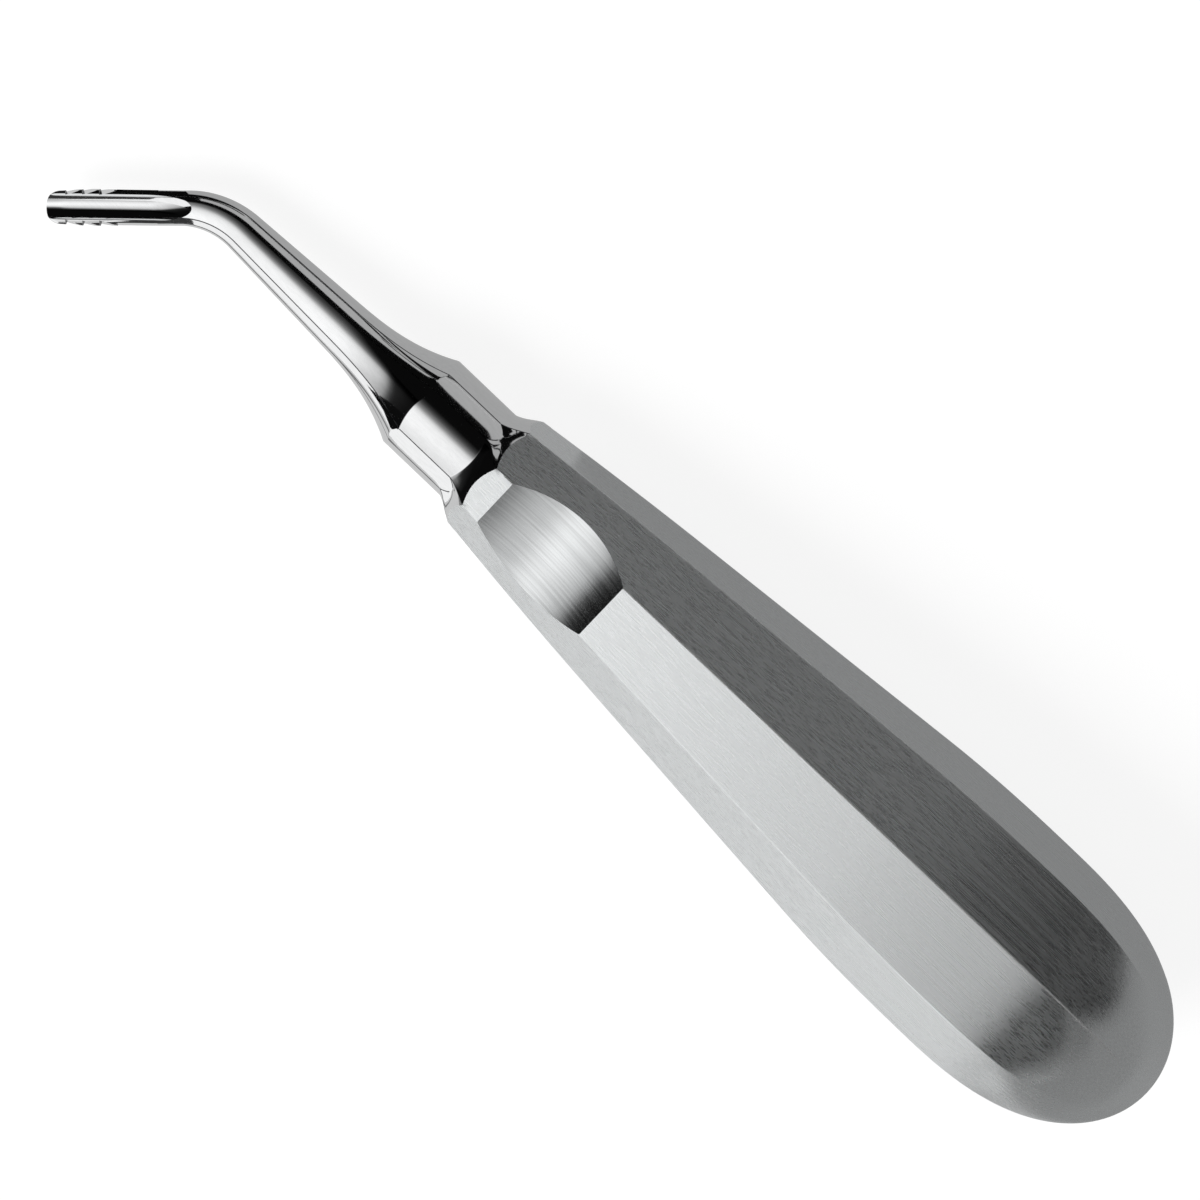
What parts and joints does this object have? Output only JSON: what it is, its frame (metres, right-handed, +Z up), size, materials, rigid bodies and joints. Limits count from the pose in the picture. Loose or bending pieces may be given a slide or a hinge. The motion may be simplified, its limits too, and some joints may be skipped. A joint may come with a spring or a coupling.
{
  "type": "angled dental elevator",
  "caption": "One-piece steel dental elevator: octagonal pear-shaped handle with a ground thumb rest, faceted collar, thin shank and an angled gouge blade with barbed edges.",
  "frame": {"origin": "middle of the footprint, on the table the instrument lies on", "axes": "+X along the instrument from the butt of the handle towards the working tip, +Y the way the blade is bent, +Z up out of the thumb rest, the instrument lying on the handle flat opposite the thumb rest"},
  "size_m": [0.1498, 0.0256, 0.0256],
  "materials": {
    "steel": "satin handle with fine lengthwise lines, mirror-polished collar, shank and blade"
  },
  "bodies": {
    "root": {"elevator": "steel"}
  },
  "joints": []
}
